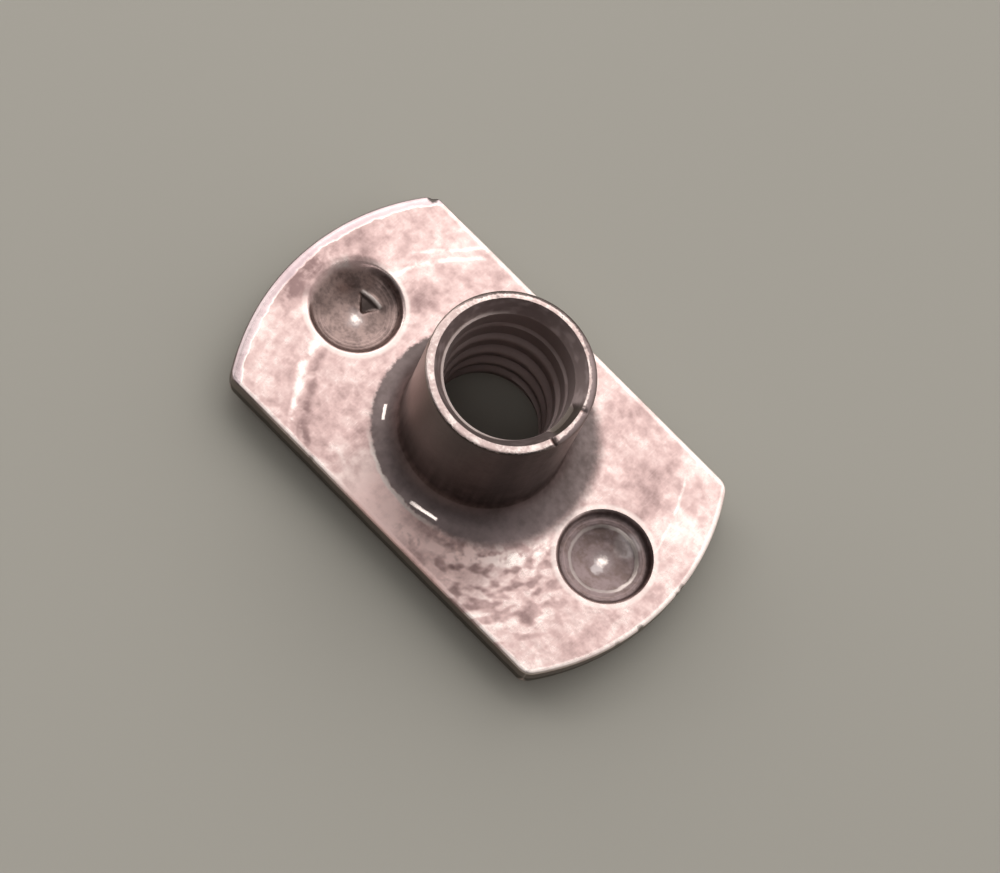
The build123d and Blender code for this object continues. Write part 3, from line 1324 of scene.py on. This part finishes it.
# The bore from the mouth to the flare: where it begins, its thread and the painted light on it
mouth_edge_band = (mouth_radius + 0.03, mouth_radius - 0.03)
flare_height_band = (upper_face - 0.1, upper_face - 0.3)
flare_radius_band = (foot_edge_radius + 0.2, foot_edge_radius)
crest_band = (0.3, 0.02)
crest_height_band = (lower_face + 0.8, lower_face + 1.6)
crest_least_share = 0.4
bore_lit_side = ((0.95, 0.3), 0.3, 1.0)
bore_lit_share = 0.3
bore_lit_crest_share = 0.5
bore_rough = 0.65
bore_relief = 0.02
# The mouth: smears, a side of painted light, a side of painted shade nearest the viewer and a painted
# highlight along its ledge
mouth_foot_band = (mouth_foot - 0.04, mouth_foot + 0.06)
smear_stretch = (1.0, 1.0, 2.0)
smear_size = 0.6
smear_band = (0.42, 0.72)
smear_share = 0.6
mouth_lit_side = ((1.0, 1.0), 0.4, 1.35)
mouth_lit_share = 0.4
mouth_painted_shade_side = ((0.64, -0.77), 0.2, 0.8)
mouth_painted_shade_share = 0.65
ledge_line_side = (heading(mouth_ledge_turn), -0.3, 0.5)
ledge_line_stray = 0.05
ledge_line_band = (0.12, 0.03)
ledge_line_share = 0.4
# The torn place is darker, as torn steel and as painted shade in its pocket
tear_side = (heading(tear_turn), *tear_band)
tear_height_band = (mouth_foot - 0.12, mouth_foot)
tear_share = 0.7


def tapped_bore(graph, finish, at):
    """The mouth, the thread with its brighter crests and the flare under it, with painted light, painted
    shade and a painted highlight.
    """
    flare = graph.rise(at.z, *flare_height_band) * graph.rise(at.radius, *flare_radius_band)
    share = graph.most(graph.rise(at.radius, *mouth_edge_band), flare)
    plain = taper_radius - (mouth_foot - at.z) * (bore_taper / bore_taper_length)
    plain = graph.most(plain, thread_minor_radius)
    crest = graph.rise(at.radius - plain, *crest_band) * graph.rise(at.z, *crest_height_band)
    crest_light = crest * (crest_least_share + at.mid * (1 - crest_least_share))
    colour = graph.tint(crest_light, thread_root_colour, thread_crest_colour)
    # Painted light on one side of the bore
    lit = at.side(*bore_lit_side) * (bore_lit_share + crest * bore_lit_crest_share)
    colour = graph.tint(lit, colour, mouth_smear_and_painted_light)
    smears = graph.cloud(graph.stretch(at.place, smear_stretch), smear_size)
    # Smears, and painted light on one side of the mouth
    lit = graph.rise(smears, *smear_band) * smear_share + at.side(*mouth_lit_side) * mouth_lit_share
    mouth = graph.tint(lit, mouth_colour, mouth_smear_and_painted_light)
    # Painted shade on the mouth's near side
    mouth = graph.tint(at.side(*mouth_painted_shade_side) * mouth_painted_shade_share, mouth, drawn_dark)
    colour = graph.tint(graph.rise(at.z, *mouth_foot_band), colour, mouth)
    # Painted highlight along the ledge
    off = abs(at.z + sway(at.fine, ledge_line_stray) - mouth_foot)
    ledge_highlight = graph.rise(off, *ledge_line_band) * at.side(*ledge_line_side)
    colour = graph.tint(ledge_highlight * ledge_line_share, colour, burnished)
    # Torn steel, darkened also as painted shade in the pocket
    tear = graph.rise(at.z, *tear_height_band) * at.side(*tear_side)
    colour = graph.tint(tear * tear_share, colour, torn_steel_and_painted_shade)
    finish.lay(share, colour, bore_rough, sway(at.mid, bore_relief))


def bare_steel():
    """Tumbled steel: high flat places are burnished, drawn and punched ones keep their dark skin."""
    material = bpy.data.materials.new("bare_steel")
    material.use_nodes = True
    graph = Graph(material.node_tree)
    at = Surface(graph)
    finish = flange_finish(graph, at)
    punched_edge(graph, finish, at)
    for side in pit_colour:
        punch_pit(graph, finish, at, side)
    # Side where the foot's dark ring reaches out as a painted shadow of the barrel
    painted_shadow_spread = at.side(*foot_painted_shadow_side)
    drawn_barrel(graph, finish, at, painted_shadow_spread)
    foot_marks(graph, finish, at, painted_shadow_spread)
    worn_rim(graph, finish, at)
    tapped_bore(graph, finish, at)
    uneven = graph.add("ShaderNodeBump", None, {"Height": finish.relief, "Distance": MM, "Strength": 1.0})
    shader = graph.add(
        "ShaderNodeBsdfPrincipled",
        None,
        {
            "Base Color": finish.colour,
            "Metallic": 1.0,
            "Roughness": finish.rough,
            "Normal": graph.value(uneven),
        },
    )
    graph.add("ShaderNodeOutputMaterial", None, {"Surface": graph.value(shader)})
    return material


# The floor, which runs on past the picture
floor_colour = (0.466, 0.438, 0.382, 1)
floor_rough = 0.9
floor_width = 6000


def pale_floor():
    material = bpy.data.materials.new("pale_floor")
    material.use_nodes = True
    graph = Graph(material.node_tree)
    shader = graph.add(
        "ShaderNodeBsdfPrincipled",
        None,
        {"Base Color": floor_colour, "Roughness": floor_rough},
    )
    graph.add("ShaderNodeOutputMaterial", None, {"Surface": graph.value(shader)})
    mesh = bpy.data.meshes.new("floor")
    half = floor_width / 2 * MM
    corners = [(-half, -half, 0), (half, -half, 0), (half, half, 0), (-half, half, 0)]
    mesh.from_pydata(corners, [], [(0, 1, 2, 3)])
    mesh.materials.append(material)
    floor = bpy.data.objects.new("floor", mesh)
    bpy.context.scene.collection.objects.link(floor)
    return floor


# Soft panels, as name, direction from the nut, distance, width, length and brightness
lamps = (
    ("ceiling_lamp", (-0.2, 0.58, 0.79), 300, 260, 260, 1.05),
    ("side_lamp", (-0.76, 0.28, 0.58), 400, 260, 220, 1.4),
    ("left_lamp", (-0.85, -0.26, 0.46), 400, 200, 180, 1.3),
    ("left_glint_lamp", (-0.777, -0.087, 0.626), 300, 44, 26, 6),
    ("front_lamp", (0.11, -0.36, 0.93), 300, 100, 70, 2.0),
)


def soft_lamp(name, direction, distance, width, length, brightness):
    """A panel that faces the nut from the given direction. A brightness of 1 shows as white."""
    light = bpy.data.lights.new(name, "AREA")
    light.shape = "RECTANGLE"
    light.size = width * MM
    light.size_y = length * MM
    light.energy = brightness * math.pi * light.size * light.size_y
    lamp = bpy.data.objects.new(name, light)
    toward = Vector(direction).normalized()
    lamp.location = toward * distance * MM
    lamp.rotation_euler = toward.to_track_quat("Z", "Y").to_euler()
    bpy.context.scene.collection.objects.link(lamp)


# Light of the room: brighter behind the nut, dark in front of it and dim where the viewer stands
room_colour = (0.62, 0.615, 0.61, 1)
room_bright = (1, 0.995, 0.99, 1)
room_bright_band = (0.1, 0.8)
room_dark = (0.02, 0.02, 0.02, 1)
room_dark_band = (0.12, -0.4)
viewer_dim = (0.12, 0.12, 0.12, 1)
viewer_toward = (0.15, -0.6, 0.8)
viewer_band = (0.35, 0.95)


def room_light():
    """Light of a plain room, dim on the side where the viewer stands."""
    world = bpy.data.worlds.new("room")
    world.use_nodes = True
    graph = Graph(world.node_tree)
    x, y, z = graph.split(graph.value(graph.add("ShaderNodeTexCoord"), "Generated"))
    colour = graph.tint(graph.rise(y, *room_bright_band), room_colour, room_bright)
    colour = graph.tint(graph.rise(y, *room_dark_band), colour, room_dark)
    toward_viewer = x * viewer_toward[0] + y * viewer_toward[1] + z * viewer_toward[2]
    colour = graph.tint(graph.rise(toward_viewer, *viewer_band), colour, viewer_dim)
    background = graph.add("ShaderNodeBackground", None, {"Color": colour, "Strength": 1.0})
    graph.add("ShaderNodeOutputWorld", None, {"Surface": graph.value(background)})
    bpy.context.scene.world = world


# The photo's view: where the camera stands and the point of the nut at the picture's centre
camera_azimuth = math.radians(17.47)
camera_elevation = math.radians(68.37)
camera_roll = math.radians(28.74)
camera_distance = 232.74
camera_lens = 180
camera_sensor = 36
camera_clip_share = 0.1
aim_point = (0.82, 0.49, 2.18)


def photo_camera():
    flat = math.cos(camera_elevation)
    back_x = math.sin(camera_azimuth) * flat
    back_y = -math.cos(camera_azimuth) * flat
    back = Vector((back_x, back_y, math.sin(camera_elevation)))
    turn = (-back).to_track_quat("-Z", "Y").to_matrix() @ Matrix.Rotation(camera_roll, 3, "Z")
    lens = bpy.data.cameras.new("photo_camera")
    lens.lens = camera_lens
    lens.sensor_width = camera_sensor
    lens.clip_start = camera_distance * camera_clip_share * MM
    camera = bpy.data.objects.new("photo_camera", lens)
    camera.location = (Vector(aim_point) + back * camera_distance) * MM
    camera.rotation_euler = turn.to_euler()
    bpy.context.scene.collection.objects.link(camera)
    bpy.context.scene.camera = camera


body = nut_body(bare_steel())
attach(body, "root")
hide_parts("weld_nut")
pale_floor()
room_light()
for lamp in lamps:
    soft_lamp(*lamp)
photo_camera()
bpy.context.scene.view_settings.view_transform = "Standard"
